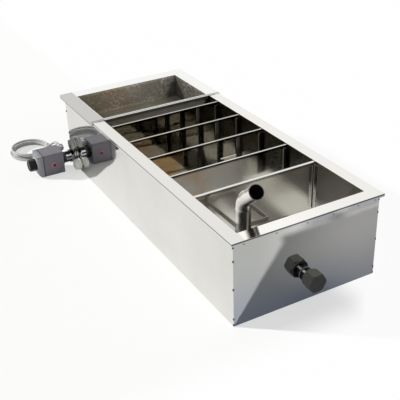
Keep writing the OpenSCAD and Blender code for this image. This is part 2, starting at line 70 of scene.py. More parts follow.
SHELL_X, SHELL_Y, SHELL_TOP = extent("outer_shell")[1]
LIP_Z, RIM_Z = (corner[2] for corner in extent("tank_rim"))
SHEET = RIM_Z - SHELL_TOP
IN_X, IN_Y = (value - SHEET for value in extent("inner_tank")[1][:2])
TRAY_X, TRAY_Y1, TRAY_Z = extent("tray_grate")[1]
TRAY_X, TRAY_Y1 = TRAY_X - SHEET, TRAY_Y1 - SHEET
TRAY_Y0 = extent("tray_grate")[0][1] + SHEET
TRAY_FRONT = extent("sieve_tray")[0][1]
HOOK_X, HOOK_Y, TRAY_TOP = extent("sieve_tray")[1]
SECOND_Y = middle("divider_2")[1]
FOURTH_Y = middle("divider_4")[1]
BEAD_TOP = extent("divider_4")[1][2]
FIXED_Y = extent("pipe_bracket")[1][1] + SHEET / 2
PIPE_X, PIPE_Y, _ = middle("pipe_clip")
OUTLET_X, _, OUTLET_Z = middle("outlet_socket")
_, HEATER_Y, HEATER_Z = middle("heater_socket")
KNOB_X = extent("knob")[0][0]
NECK_BAND_X = extent("neck_ring")[1][0] + 0.008
HEAD_SEAM_X = extent("head_lid")[1][0] + 0.0002

# Measures that the solids' boxes don't give
TRAY_LIP = 0.010
HOLE_R, HOLE_PITCH = 0.0016, 0.00514
PIPE_R, PIPE_BEND_R, PIPE_BEND_Z = 0.018, 0.045, 0.217
PIPE_LEAN, PIPE_TURN = math.radians(52), math.radians(-99)
BRACKET_STRIP, WELD_SINK, SEAM_REACH = 0.002, 0.0002, 0.0028
CABLE_D, CABLE_STEPS = 0.0075, 12


# Camera, light and stage
SENSOR_MM = 36.0
FOCUS_PIXELS, PICTURE_PIXELS = 775.3, 400
AMBIENT = 0.34
SUN_STRENGTH, SUN_BLUR, SUN_COLOUR = 4.3, math.radians(2.5), (1.0, 0.985, 0.96)
SUN_WAY = (0.785, -0.6195)
SUN_HEIGHT = math.radians(29.0)
FLOOR_REACH, FLOOR_Z = 30.0, -0.0006
WHITE, FLOOR_COLOUR = (1, 1, 1, 1), (0.92, 0.92, 0.92, 1)
BOUNCES, GLOSSY_BOUNCES = 14, 12


def place_camera():
    """Camera fitted to the rim and wall corners of the photograph: position, and the three
    axes of its body (right, up and back)."""
    right = (0.8716, -0.4893, -0.0310)
    up = (0.2621, 0.4115, 0.8729)
    back = (-0.4143, -0.7690, 0.4869)
    place = (-0.9137, -1.6858, 1.0994)
    data = bpy.data.cameras.new("camera")
    data.sensor_width = SENSOR_MM
    data.lens = SENSOR_MM * FOCUS_PIXELS / PICTURE_PIXELS
    data.clip_start, data.clip_end = 0.05, 100
    camera = bpy.data.objects.new("camera", data)
    bpy.context.scene.collection.objects.link(camera)
    matrix = np.eye(4)
    for column, axis in enumerate((right, up, back, place)):
        matrix[:3, column] = axis
    turn, _ = np.linalg.qr(matrix[:3, :3])
    signs = np.sign(np.sum(turn * matrix[:3, :3], axis=0))
    matrix[:3, :3] = turn * signs
    camera.matrix_world = Matrix(matrix.tolist())
    bpy.context.scene.camera = camera


def linear(tone):
    """A colour written as it is seen on a screen, from 0 to 255, as the linear one."""
    seen = np.array(tone) / 255
    light = np.where(seen <= 0.04045, seen / 12.92, ((seen + 0.055) / 1.055) ** 2.4)
    return (*light.tolist(), 1.0)


class Wire:
    """A shader socket that can be used in a Python expression: each operator adds one Math
    node."""

    def __init__(self, bench, socket):
        self.bench, self.socket = bench, socket

    def _maths(self, operation, *values):
        return self.bench.node("ShaderNodeMath", dict(enumerate(values)), {"operation": operation})

    def __add__(self, other):
        return self._maths("ADD", self, other)

    __radd__ = __add__

    def __sub__(self, other):
        return self._maths("SUBTRACT", self, other)

    def __rsub__(self, other):
        return self._maths("SUBTRACT", other, self)

    def __mul__(self, other):
        return self._maths("MULTIPLY", self, other)

    __rmul__ = __mul__

    def __pow__(self, other):
        return self._maths("POWER", self, other)

    def absolute(self):
        return self._maths("ABSOLUTE", self)

    def least(self, other):
        return self._maths("MINIMUM", self, other)

    def most(self, other):
        return self._maths("MAXIMUM", self, other)

    def step(self, low, high):
        """0 below low, 1 above high, with a soft passage between them."""
        return self.bench.node(
            "ShaderNodeMapRange",
            {"Value": self, "From Min": low, "From Max": high},
            {"interpolation_type": "SMOOTHSTEP"},
        )

    def near(self, place, reach):
        """1 at the place and 0 further than the reach from it."""
        return 1 - (self - place).absolute().step(0.0, reach)


class Bench:
    """One material's node tree. node() adds any node."""

    def __init__(self, tree):
        self.tree = tree
        tree.nodes.clear()

    def node(self, kind, sockets=None, settings=None, out=0):
        made = self.tree.nodes.new(kind)
        for name, value in (settings or {}).items():
            setattr(made, name, value)
        for name, value in (sockets or {}).items():
            if isinstance(value, Wire):
                self.tree.links.new(value.socket, made.inputs[name])
            elif value is not None:
                made.inputs[name].default_value = value
        return Wire(self, made.outputs[out]) if len(made.outputs) else None

    def place(self):
        """The point of the object, in its own coordinates."""
        return self.node("ShaderNodeTexCoord", out=3)

    def normal(self):
        """The way the surface faces."""
        return self.node("ShaderNodeNewGeometry", out=1)

    def toward(self, way):
        """How far the surface faces a way: 1 straight, -1 straight away."""
        return self.vector("DOT_PRODUCT", self.normal(), way, out=1)

    def axes(self, vector):
        """The three parts of a vector, as three wires."""
        split = self.node("ShaderNodeSeparateXYZ", {0: vector})
        return [Wire(self, split.socket.node.outputs[i]) for i in range(3)]

    def stretched(self, scale, where):
        return self.node("ShaderNodeMapping", {0: where, 3: scale})

    def noise(self, scale, detail, rough, where):
        return self.node(
            "ShaderNodeTexNoise",
            {"Vector": where, "Scale": scale, "Detail": detail, "Roughness": rough},
        )

    def blend(self, share, first, second):
        """Colour first at share 0 and colour second at share 1. Each is a wire, or a colour
        as it is seen on a screen."""
        first, second = (
            tone if isinstance(tone, Wire) else linear(tone) for tone in (first, second)
        )
        return self.node(
            "ShaderNodeMix", {0: share, 6: first, 7: second}, {"data_type": "RGBA"}, out=2
        )

    def vector(self, operation, first, second=None, out=0):
        return self.node(
            "ShaderNodeVectorMath", {0: first, 1: second}, {"operation": operation}, out
        )

    def bump(self, height, distance, strength=1.0, under=None):
        return self.node(
            "ShaderNodeBump",
            {"Height": height, "Distance": distance, "Strength": strength, "Normal": under},
        )

    def finish(self, sockets):
        shader = self.node("ShaderNodeBsdfPrincipled", sockets)
        self.node("ShaderNodeOutputMaterial", {"Surface": shader})


def new_material(name):
    material = bpy.data.materials.new(name)
    material.use_nodes = True
    return material, Bench(material.node_tree)


def ray_kind(bench, name):
    """1 for rays of one kind, such as Is Camera Ray."""
    path = bench.node("ShaderNodeLightPath")
    return Wire(bench, path.socket.node.outputs[name])


def make_sky():
    """An even white sky. The camera, metal and glass see it white; everything else gets its
    plain level."""
    world = bpy.data.worlds.new("studio")
    bpy.context.scene.world = world
    world.use_nodes = True
    bench = Bench(world.node_tree)
    seen = ray_kind(bench, "Is Camera Ray").most(ray_kind(bench, "Is Glossy Ray"))
    seen = seen.most(ray_kind(bench, "Is Transmission Ray"))
    level = AMBIENT + seen * (1 - AMBIENT)
    sky = bench.node("ShaderNodeBackground", {"Color": WHITE, "Strength": level})
    bench.node("ShaderNodeOutputWorld", {"Surface": sky})


def make_sun():
    """One soft lamp from behind on the left, which metal doesn't mirror."""
    lamp = bpy.data.lights.new("soft_sun", "SUN")
    lamp.energy = SUN_STRENGTH
    lamp.angle = SUN_BLUR
    lamp.color = SUN_COLOUR
    sun = bpy.data.objects.new("soft_sun", lamp)
    bpy.context.scene.collection.objects.link(sun)
    sun.visible_glossy = False
    flat = math.cos(SUN_HEIGHT)
    way = unit((SUN_WAY[0] * flat, SUN_WAY[1] * flat, -math.sin(SUN_HEIGHT)))
    side = unit(np.cross((0, 0, 1), -way))
    matrix = np.eye(4)
    matrix[:3, 0], matrix[:3, 1], matrix[:3, 2] = side, np.cross(-way, side), -way
    matrix[:3, 3] = -3 * way
    sun.matrix_world = Matrix(matrix.tolist())


def make_floor():
    """A pale floor. The camera sees it whitened, least on the heater's side and just in front
    of the tank, where shadows show."""
    material, bench = new_material("pale_floor")
    lit = bench.node("ShaderNodeBsdfDiffuse", {"Color": FLOOR_COLOUR})
    white = bench.node("ShaderNodeEmission", {"Color": WHITE, "Strength": 1.0})
    x, y, _ = bench.axes(bench.place())
    right_x, behind_y, ahead_y = (0.05, 0.15), (0.55, 1.20), (-0.65, -0.54)
    right, behind, ahead = x.step(*right_x), y.step(*behind_y), 1 - y.step(*ahead_y)
    whitened = (0.56 + right * 0.38 + behind * 0.20 + ahead * 0.38).least(0.94)
    share = ray_kind(bench, "Is Camera Ray") * whitened
    both = bench.node("ShaderNodeMixShader", {0: share, 1: lit, 2: white})
    bench.node("ShaderNodeOutputMaterial", {"Surface": both})
    mesh = bpy.data.meshes.new("floor")
    ways = ((-1, -1), (1, -1), (1, 1), (-1, 1))
    corners = [(x * FLOOR_REACH, y * FLOOR_REACH, FLOOR_Z) for x, y in ways]
    mesh.from_pydata(corners, [], [(0, 1, 2, 3)])
    mesh.materials.append(material)
    floor = bpy.data.objects.new("floor", mesh)
    bpy.context.scene.collection.objects.link(floor)


# Surfaces from arrays
class Surface:
    """Collects grids of points and their faces, then makes them one mesh piece."""

    def __init__(self):
        self.points, self.faces, self.count = [], [], 0

    def add(self, points, faces):
        points = np.asarray(points, float).reshape(-1, 3)
        self.points.append(points)
        self.faces += [tuple(int(i) + self.count for i in face) for face in faces]
        self.count += len(points)

    def grid(self, points, round_u=False, round_v=False):
        """Square faces between neighbours of an array of points (u, v, 3). A round direction
        closes on itself."""
        u, v = points.shape[:2]
        i = np.arange(u if round_u else u - 1)[:, None]
        j = np.arange(v if round_v else v - 1)[None, :]
        i2, j2 = (i + 1) % u, (j + 1) % v
        faces = np.stack([i * v + j, i2 * v + j, i2 * v + j2, i * v + j2], -1).reshape(-1, 4)
        self.add(points, faces)

    def tube(self, points, closed=False):
        """A skin round rings of points (ring, point, 3), with flat ends unless the rings
        close on themselves. A ring's points run from the sideways to the outward side."""
        base, (rings, count) = self.count, points.shape[:2]
        self.grid(points, round_u=closed, round_v=True)
        if not closed:
            last = base + (rings - 1) * count
            self.faces.append(tuple(range(base, base + count)))
            self.faces.append(tuple(range(last + count - 1, last - 1, -1)))

    def make(self, name, material, body, smooth=None):
        """The mesh object, on its body, with the material. smooth is the widest angle
            in degrees that is shaded round."""
        mesh = bpy.data.meshes.new(name)
        mesh.from_pydata(np.round(np.concatenate(self.points), 7).tolist(), [], self.faces)
        mesh.update()
        piece = bpy.data.objects.new(name, mesh)
        bpy.context.scene.collection.objects.link(piece)
        mesh.materials.append(material)
        if smooth:
            mesh.polygons.foreach_set("use_smooth", np.ones(len(mesh.polygons), bool))
            mesh.set_sharp_from_angle(angle=math.radians(smooth))
        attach(piece, body)
        return piece


def unit(vectors):
    vectors = np.asarray(vectors, float)
    return vectors / np.linalg.norm(vectors, axis=-1, keepdims=True)


def circle(place, axis, radius, count):
    """Points of a circle round an axis, and the directions from its middle to them."""
    axis = unit(axis)
    across = unit(np.cross((0, 0, 1) if abs(axis[2]) < 0.9 else (1, 0, 0), axis))
    angle = np.linspace(0, 2 * np.pi, count, endpoint=False)[:, None]
    out = np.cos(angle) * across + np.sin(angle) * np.cross(axis, across)
    return np.asarray(place, float) + radius * out, out


def bead(surface, path, lift, width, height, pitch=0.0016, closed=False):
    """A weld bead on a path. Round its section runs an angle t: the point lies
    width * cos t sideways and height * sin t outwards, or a fifth of that inwards. Ripples
    one pitch apart scale the outward part by 0.7 + 0.3 |sin(pi s / pitch)|, where s is the
    way along the bead. An open bead's ends taper as sqrt(1 - u^6), with u from -1 to 1."""
    path = np.asarray(path, float)
    lift = np.broadcast_to(np.asarray(lift, float), path.shape)
    if closed:
        along = unit(np.roll(path, -1, 0) - np.roll(path, 1, 0))
    else:
        along = unit(np.gradient(path, axis=0))
    side = unit(np.cross(along, lift))
    gaps = np.linalg.norm(np.diff(path, axis=0), axis=1)
    way = np.concatenate([[0], np.cumsum(gaps)])
    ripple = 0.7 + 0.3 * np.abs(np.sin(np.pi * way / pitch))
    taper = np.sqrt(np.maximum(1 - np.linspace(-1, 1, len(path)) ** 6, 0.001))
    if closed:
        taper = np.ones(len(path))
    t = np.linspace(0, 2 * np.pi, 10, endpoint=False)
    out = np.where(np.sin(t) > 0, np.sin(t), 0.2 * np.sin(t))
    sideways = side[:, None] * (width * taper)[:, None, None] * np.cos(t)[None, :, None]
    outwards = lift[:, None] * (height * taper * ripple)[:, None, None] * out[None, :, None]
    surface.tube(path[:, None] + sideways + outwards, closed)


def line(start, end, step=0.0004):
    """Points on a straight line, about one step apart."""
    start, end = np.asarray(start, float), np.asarray(end, float)
    count = max(int(np.linalg.norm(end - start) / step), 6)
    share = np.linspace(0, 1, count)[:, None]
    return start + (end - start) * share


def turned(surface, place, axis, profile, sides):
    """A solid of revolution. The profile holds (radius, height) points from the foot up."""
    profile = np.asarray(profile, float)
    _, out = circle(place, axis, 1.0, sides)
    out = out[::-1]
    rings = profile[:, None, :1] * out + profile[:, None, 1:] * unit(axis)
    surface.tube(np.asarray(place, float) + rings)


def slab(surface, low, high, edge):
    """A box with bevelled edges: rounded outlines at four heights."""
    low, high = np.asarray(low, float), np.asarray(high, float)
    corners = np.array([(0, 0, -1, -1), (1, 0, 1, -1), (1, 1, 1, 1), (0, 1, -1, 1)], float)
    rings = []
    for inset, z in ((edge, low[2]), (0, low[2] + edge), (0, high[2] - edge), (edge, high[2])):
        ring = []
        for share_x, share_y, way_x, way_y in corners:
            x = low[0] + share_x * (high[0] - low[0]) - way_x * (inset + edge)
            y = low[1] + share_y * (high[1] - low[1]) - way_y * (inset + edge)
            first = math.atan2(way_y, way_x) - math.pi / 4
            for step in range(3):
                angle = first + step * math.pi / 4
                ring.append((x + edge * math.cos(angle), y + edge * math.sin(angle), z))
        rings.append(ring[::-1])
    surface.tube(np.array(rings))


# Mains cable, in millimetres
RUN = (
    (-235, 530, 60), (-235, 540, 59), (-236, 549, 56), (-239, 558, 51), (-246, 566, 44),
    (-256, 571, 37), (-268, 574, 30), (-281, 574, 25), (-294, 572, 21),
)
TAIL = (
    (-225, 632, 5.6), (-224.6, 618, 4.8), (-223.5, 604, 4.6), (-221.5, 588, 4.8),
    (-218.5, 571, 5.5), (-216, 556, 7.5), (-218, 544.8, 10.6), (-224.6, 535, 14),
    (-234, 528.5, 17), (-244, 526, 18),
)
COIL_X, COIL_Y, COIL_Z, COIL_R = -294, 634, 12.9, 62
COIL_TURNS, POINTS_A_TURN = 3.75, 20
BUNDLE_WIDE, BUNDLE_HIGH = 8.4, 8.2
SHIFT_A_TURN, SWELL_LIMIT = 60, 1.06


def cable_route():
    """Points of the whole cable in metres: the free run from the gland, the coil and the
    tail to the plug. In the coil the compass angle falls by 360 degrees a turn from -90. In
    the bundle's own section the cable goes from the top to the inner side, under and out: an
    angle q grows by 60 degrees a turn from 90, and the point is on a rounded square, so that
    turns lie beside and on each other."""
    turn = np.linspace(0, COIL_TURNS, int(COIL_TURNS * POINTS_A_TURN) + 1)[1:-1]
    q = np.radians(90 + SHIFT_A_TURN * turn)
    swell = (np.abs(np.cos(q)) ** 4 + np.abs(np.sin(q)) ** 4) ** -0.25
    radius = COIL_R + BUNDLE_WIDE * swell * np.cos(q)
    height = COIL_Z + BUNDLE_HIGH * np.sin(q) * np.minimum(swell, SWELL_LIMIT)
    compass = np.radians(-90 - 360 * turn)
    coil = np.stack(
        [COIL_X + radius * np.cos(compass), COIL_Y + radius * np.sin(compass), height], -1
    )
    return np.concatenate([np.array(RUN, float), coil, np.array(TAIL, float)]) / 1000


def make_cable(material):
    """The whole mains cable as one round curve."""
    route = cable_route()
    curve = bpy.data.curves.new("mains_cable", "CURVE")
    curve.dimensions = "3D"
    curve.bevel_depth = CABLE_D / 2
    curve.bevel_resolution = 4
    curve.resolution_u = 4
    curve.use_fill_caps = True
    spline = curve.splines.new("BEZIER")
    spline.bezier_points.add(len(route) - 1)
    spline.bezier_points.foreach_set("co", route.ravel())
    for point in spline.bezier_points:
        point.handle_left_type = point.handle_right_type = "AUTO"
    piece = bpy.data.objects.new("mains_cable", curve)
    bpy.context.scene.collection.objects.link(piece)
    curve.materials.append(material)
    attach(piece, "tank")
    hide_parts("cable_run", "cable_coil", "cable_tail")


# Details that only the scene has
def panel(surface, corner, along, across, size, border):
    """A perforated sheet panel. From the corner it runs size[0] along and size[1] across,
    cells of about HOLE_PITCH fill the part inside the border, and its thickness lies behind
    the side that along x across points to. In a cell an angle a runs in steps of 45 degrees:
    the cell's edge lies at half a cell times (cos a, sin a) / max(|cos a|, |sin a|), and the
    hole's at HOLE_R (cos a, sin a). Every second row is moved by half a cell, and a plain
    half cell closes each of its ends."""
    along, across = unit(along), unit(across)
    behind = -np.cross(along, across) * SHEET
    inner = [size[k] - 2 * border[k] for k in (0, 1)]
    columns, rows = cells = [round(length / HOLE_PITCH) for length in inner]
    pitch_u, pitch_v = inner[0] / columns, inner[1] / rows

    def place(u, v, depth):
        u, v, depth = (np.asarray(value, float)[..., None] for value in (u, v, depth))
        return np.asarray(corner, float) + u * along + v * across + depth * behind

    a = np.radians(np.arange(8) * 45)
    around = np.stack([np.cos(a), np.sin(a)], -1)
    edge = around / np.max(np.abs(around), axis=1, keepdims=True) * (pitch_u / 2, pitch_v / 2)
    outline = np.concatenate([edge, around * HOLE_R, around * HOLE_R, edge])
    depth = np.repeat((0, 0, 1, 1), 8)
    i = np.arange(8)
    j = (i + 1) % 8
    faces = np.concatenate([np.stack([i + k, j + k, j + k + 8, i + k + 8], -1) for k in (0, 8, 16)])
    for row in range(rows):
        odd = row % 2
        v = border[1] + (row + 0.5) * pitch_v
        for column in range(columns - odd):
            u = border[0] + (column + 0.5 + odd * 0.5) * pitch_u
            surface.add(place(outline[:, 0] + u, outline[:, 1] + v, depth), faces)
        if odd:
            vs = v + np.array((-1, -1, 0, 1, 1, 0)) * pitch_v / 2
            for u in (border[0] + pitch_u / 4, size[0] - border[0] - pitch_u / 4):
                us = u + np.array((-1, 1, 1, 1, -1, -1)) * pitch_u / 4
                surface.add(place(us, vs, 0), [range(6)])
                surface.add(place(us, vs, 1), [range(5, -1, -1)])
    s, t = (np.arange(2 * count) / (2 * count) for count in cells)
    share_u = np.concatenate([s, np.ones(len(t)), 1 - s, np.zeros(len(t))])
    share_v = np.concatenate([np.zeros(len(s)), t, np.ones(len(s)), 1 - t])
    rings = []
    for (side, end), level in ((border, 0), ((0, 0), 0), ((0, 0), 1), (border, 1)):
        us, vs = side + share_u * (size[0] - 2 * side), end + share_v * (size[1] - 2 * end)
        rings.append(place(us, vs, level))
    surface.grid(np.array(rings), round_v=True)


def make_tray_bottom(material):
    """The tray's perforated bottom."""
    surface = Surface()
    corner = (-TRAY_X - SHEET, TRAY_Y0 - SHEET, TRAY_Z)
    size = (2 * TRAY_X + 2 * SHEET, TRAY_Y1 - TRAY_Y0 + 2 * SHEET)
    panel(surface, corner, (1, 0, 0), (0, 1, 0), size, (SHEET, SHEET))
    piece = surface.make("perforated_tray_bottom", material, "tank")
    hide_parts("tray_grate")


def tray_outline(x, y):
    """A line round three sides of the tray, from the left front to the right front."""
    return ((-x, TRAY_FRONT), (-x, y), (x, y), (x, TRAY_FRONT))


def make_tray_walls(material):
    """The tray's four perforated walls, its flanges and their turned-down lips. The flanges
    on the left, at the rear and on the right are one folded strip with mitred corners."""
    surface = Surface()
    height, depth, end_x = RIM_Z - TRAY_Z, TRAY_Y1 - TRAY_Y0, TRAY_X + SHEET
    end_border, side_border = (0.006, 0.007), (0.005, 0.007)
    walls = (
        ((-end_x, TRAY_Y1, TRAY_Z), (1, 0, 0), 2 * end_x, end_border),
        ((end_x, TRAY_Y0, TRAY_Z), (-1, 0, 0), 2 * end_x, end_border),
        ((TRAY_X, TRAY_Y1, TRAY_Z), (0, -1, 0), depth, side_border),
        ((-TRAY_X, TRAY_Y0, TRAY_Z), (0, 1, 0), depth, side_border),
    )
    for corner, along, length, border in walls:
        panel(surface, corner, along, (0, 0, 1), (length, height), border)
    top, low = TRAY_TOP, TRAY_TOP - TRAY_LIP
    inner, outer = tray_outline(TRAY_X, TRAY_Y1), tray_outline(HOOK_X, HOOK_Y)
    lip = tray_outline(HOOK_X - SHEET, HOOK_Y - SHEET)
    section = ((inner, top), (outer, top), (outer, low), (lip, low), (lip, RIM_Z), (inner, RIM_Z))
    rings = [[(*outline[k], z) for outline, z in section] for k in range(4)]
    surface.tube(np.array(rings))
    section = (
        (TRAY_Y0, top), (TRAY_Y0, RIM_Z), (TRAY_FRONT + SHEET, RIM_Z), (TRAY_FRONT + SHEET, low),
        (TRAY_FRONT, low), (TRAY_FRONT, top),
    )
    rings = [[(x, y, z) for y, z in section] for x in (-TRAY_X, TRAY_X)]
    surface.tube(np.array(rings))
    piece = surface.make("perforated_tray_walls", material, "tank")
    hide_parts("sieve_tray")


def pipe_elbow():
    """Start and end of the pipe's elbow, and the directions of the pipe there."""
    turn = np.array([math.cos(PIPE_TURN), math.sin(PIPE_TURN), 0.0])
    up = np.array([0.0, 0.0, 1.0])
    start = np.array([PIPE_X, PIPE_Y, PIPE_BEND_Z])
    shift = turn * (1 - math.cos(PIPE_LEAN)) + up * math.sin(PIPE_LEAN)
    lean = turn * math.sin(PIPE_LEAN) + up * math.cos(PIPE_LEAN)
    return start, up, start + PIPE_BEND_R * shift, lean


def make_pipe_welds(material):
    """Ring welds at both ends of the elbow."""
    surface = Surface()
    width, height = 0.0017, 0.0007
    start, up, end, lean = pipe_elbow()
    for place, way in ((start, up), (end, lean)):
        path, out = circle(place, way, PIPE_R + WELD_SINK, 144)
        bead(surface, path, out, width, height, closed=True)
    surface.make("elbow_welds", material, "tank", smooth=50)


def make_bracket_welds(material):
    """Fillets where the bracket's two legs meet the fixed divider and the clip meets the
    bracket's front strip."""
    surface = Surface()
    (left, front, low), (right, rear, high) = extent("pipe_bracket")
    left, right = left + BRACKET_STRIP / 2, right - BRACKET_STRIP / 2
    leg, clip = (0.0012, 0.0014, 0.0012), (0.0072, 0.0012, 0.0010)
    seams = ((left, rear, leg), (right, rear, leg), (PIPE_X, front, clip))
    for middle_x, face, (aside, width, height) in seams:
        for side in (-1, 1):
            foot = (middle_x + side * aside, face - WELD_SINK)
            bead(surface, line((*foot, low), (*foot, high)), unit((side, -1, 0)), width, height)
    surface.make("bracket_welds", material, "tank", smooth=50)


def make_inner_welds(material):
    """Welds inside the tank: spots on the fixed divider's flanges, and a seam round the
    outlet's inner end."""
    surface = Surface()
    dome = [(0.0018, -0.0001), (0.0015, 0.0001), (0.0010, 0.0002), (0.0005, 0.00015)]
    spot_y, lowest, highest, spots = FIXED_Y - 0.0095, 0.105, 0.195, 4
    for side in (-1, 1):
        for z in np.linspace(lowest, highest, spots):
            turned(surface, (side * (IN_X - SHEET), spot_y, z), (-side, 0, 0), dome, 16)
    path, _ = circle((OUTLET_X, -IN_Y, OUTLET_Z), (0, 1, 0), round_radius("outlet_socket"), 120)
    width, height = 0.0016, 0.0009
    bead(surface, path, (0, 1, 0), width, height, closed=True)
    surface.make("inner_welds", material, "tank", smooth=50)


def make_corner_tacks(surface):
    """Tacks on the shell's four upright corners."""
    heights, half_length = (0.004, 0.020, 0.100, 0.174, 0.209), np.array((0, 0, 0.0032))
    tack_width, tack_height = 0.0022, 0.0009
    for side_x, side_y in ((-1, -1), (-1, 1), (1, -1), (1, 1)):
        lift = unit((side_x, side_y, 0))
        for z in heights:
            place = np.array((side_x * SHELL_X, side_y * SHELL_Y, z)) - lift * WELD_SINK
            path = line(place - half_length, place + half_length)
            bead(surface, path, lift, tack_width, tack_height)


def make_rim_spots(surface):
    """Spots on the front and rear walls, below the rim."""
    dome = [(0.0024, -0.0001), (0.0021, 0.0003), (0.0014, 0.0006), (0.0006, 0.0005)]
    spot_z = 0.2105
    for x in (-0.172, -0.088, -0.005, 0.066, 0.138, 0.187):
        for side in (-1, 1):
            turned(surface, (x, side * SHELL_Y, spot_z), (0, side, 0), dome, 16)


def make_socket_fillet(surface, name, place, way):
    """A fillet between a socket and the wall."""
    gap, width, height = 0.0003, 0.0016, 0.0013
    path, out = circle(place, way, round_radius(name) + gap, 144)
    bead(surface, path, unit(out + np.array(way)), width, height, closed=True)


def make_outer_welds(material):
    """Welds outside: tacks, spots, and fillets round the sockets."""
    surface = Surface()
    make_corner_tacks(surface)
    make_rim_spots(surface)
    outlet = (OUTLET_X, -SHELL_Y, OUTLET_Z)
    make_socket_fillet(surface, "outlet_socket", outlet, (0, -1, 0))
    for name in ("heater_socket", "fill_socket", "drain_socket"):
        place = (-SHELL_X, *middle(name)[1:])
        make_socket_fillet(surface, name, place, (-1, 0, 0))
    surface.make("outer_welds", material, "tank", smooth=50)


def make_knob_mark(material):
    """White filling of the knob's pointer notch."""
    surface = Surface()
    front, back, half, foot, tip = KNOB_X + 0.0007, KNOB_X + 0.0020, 0.00078, 0.0131, 0.0176
    low = (front, HEATER_Y - half, HEATER_Z + foot)
    high = (back, HEATER_Y + half, HEATER_Z + tip)
    slab(surface, low, high, edge=0.0002)
    surface.make("knob_mark", material, "knob")


# Finishes
class At:
    """What a finish can depend on at a point: the place (x, y, z), the way the surface faces
    (east, north, up), slow clouds, drawn-out lines and a fine grain. The methods are 1 on one
    kind of face and 0 elsewhere."""

    def __init__(self, bench, grain):
        self.bench = bench
        self.place = bench.place()
        self.x, self.y, self.z = bench.axes(self.place)
        self.east, self.north, self.up = bench.axes(bench.normal())
        self.cloud = bench.noise(7.0, 3.0, 0.55, self.place)
        self.lines = bench.noise(60.0, 4.0, 0.65, bench.stretched(grain, self.place))
        self.fine = bench.noise(700.0, 2.0, 0.6, self.place)

    def front(self):
        """Faces that look to the outlet's end."""
        return (-1 * self.north).step(0.5, 0.9)

    def leftward(self):
        """Faces that look to the heater's side."""
        return (-1 * self.east).step(0.5, 0.9)

    def across_ends(self):
        """Faces of the short walls and of what is parallel to them."""
        return self.north.absolute().step(0.6, 0.9)

    def along_sides(self):
        """Faces of the long walls and of what is parallel to them."""
        return self.east.absolute().step(0.6, 0.9)

    def top(self):
        return self.up.step(0.6, 0.9)

    def upright(self):
        return 1 - self.up.step(0.2, 0.6)

    def last(self):
        """The fixed divider and what lies beyond it."""
        return 1 - self.y.step(FIXED_Y + 0.005, FIXED_Y + 0.010)


def steel(name, tone, dark, metal=1.0, rough=0.08, wave=0.001, grain=(1, 1, 1), depth=0.00001,
          blur=0.05, areas=(), haze=None):
    """Sheet steel with a bright finish. Clouds, lines and grain mix the colours dark and
    tone, the lines also vary the roughness by blur, and a slow wave bends what the sheet
    mirrors. Each area is a function of At that returns a share and a colour painted with
    that share. haze is a function of At that returns added roughness."""
    material, bench = new_material(name)
    at = At(bench, grain)
    share = (at.cloud * 0.9 + at.lines * 0.25 + at.fine * 0.10 - 0.25).most(0.0).least(1.0)
    tint = bench.blend(share, dark, tone)
    for area in areas:
        part, paint = area(at)
        tint = bench.blend(part, tint, paint)
    wavy = bench.bump(bench.noise(5.0, 1.0, 0.4, at.place), wave)
    roughness = rough + at.lines * blur + (at.cloud - 0.4).most(0.0) * 2 * blur
    bench.finish(
        {
            "Base Color": tint,
            "Metallic": metal,
            "Roughness": roughness + haze(at) if haze else roughness,
            "Normal": bench.bump(at.lines * 0.6 + at.fine * 0.4, depth, 1.0, wavy),
        }
    )
    return material


def ends_painted_shade(at):
    """Painted shade on the end walls: paler to the right, darker and bluish at the foot."""
    foot_low, foot_high = -0.02, 0.16
    to_right = at.x.step(-0.8 * SHELL_X, 0.8 * SHELL_X)
    far_right = at.x.step(0.1 * SHELL_X, SHELL_X)
    wall = at.bench.blend(to_right, (180, 182, 180), (253, 252, 250))
    foot = at.bench.blend(far_right, (158, 165, 180), (198, 202, 208))
    return at.across_ends(), at.bench.blend(at.z.step(foot_low, foot_high), foot, wall)


def band_under_rim_painted_shade(at):
    """Painted shade: a darker band on the end walls under the rim, from the middle to the right."""
    low, high, left, right = 0.187, 0.205, -0.05, 0.02
    faint_x, faint_reach = 0.085, 0.035
    fainter = 1 - at.x.near(faint_x, faint_reach) * 0.4
    share = at.z.step(low, high) * at.x.step(left, right) * fainter
    return share * at.across_ends(), (168, 169, 172)


def lip_sides_painted_shade(at):
    """Painted shade on the rim's lip on the long sides, in the tone of the wall below it."""
    return at.along_sides(), (232, 232, 229)


def lip_painted_shade_line(at):
    """A painted shadow line along the top of the rim's lip, softer on the long sides."""
    height, reach = RIM_Z - 0.0024, 0.0030
    tone = at.bench.blend(at.across_ends(), (112, 112, 114), (44, 43, 42))
    return at.z.near(height, reach) * at.upright(), tone


def rim_flanges(at):
    """The rim's flanges: dull on the left, bright in front and a little duller to the right."""
    middle_x, right_x, left_edge, soft = -0.10, 0.15, -0.173, 0.003
    right = at.bench.blend(at.x.step(middle_x, right_x), (249, 247, 242), (239, 237, 232))
    left = 1 - at.x.step(left_edge - soft, left_edge + soft)
    return at.top(), at.bench.blend(left, right, (229, 227, 222))


def line_under_rim(at):
    """The shadow line where the rim's lip meets the shell."""
    return at.z.step(LIP_Z - 0.0032, LIP_Z - 0.0024), (62, 62, 64)


def chambers_painted_shade(at):
    """Painted shade, darker towards the tray, for the light that every mirror image costs."""
    outlet_end, tray_end = -0.30, 0.24
    return at.y.step(outlet_end, tray_end), (208, 205, 198)


def gold_painted_reflections(at):
    """Painted reflections: golden patches on the left of the middle dividers' front faces."""
    left_x, right_x = -0.10, 0.04
    middle_ones = 1 - at.y.step(SECOND_Y + 0.01, SECOND_Y + 0.04)
    middle_ones = middle_ones * at.y.step(FOURTH_Y - 0.08, FOURTH_Y - 0.04)
    left = 1 - at.x.step(left_x, right_x)
    return at.cloud.step(0.32, 0.68) * left * middle_ones * at.front(), (218, 186, 142)


def last_divider_painted_shade(at):
    """Painted shade: a slightly darker tone on the fixed divider."""
    return at.last(), (228, 226, 221)


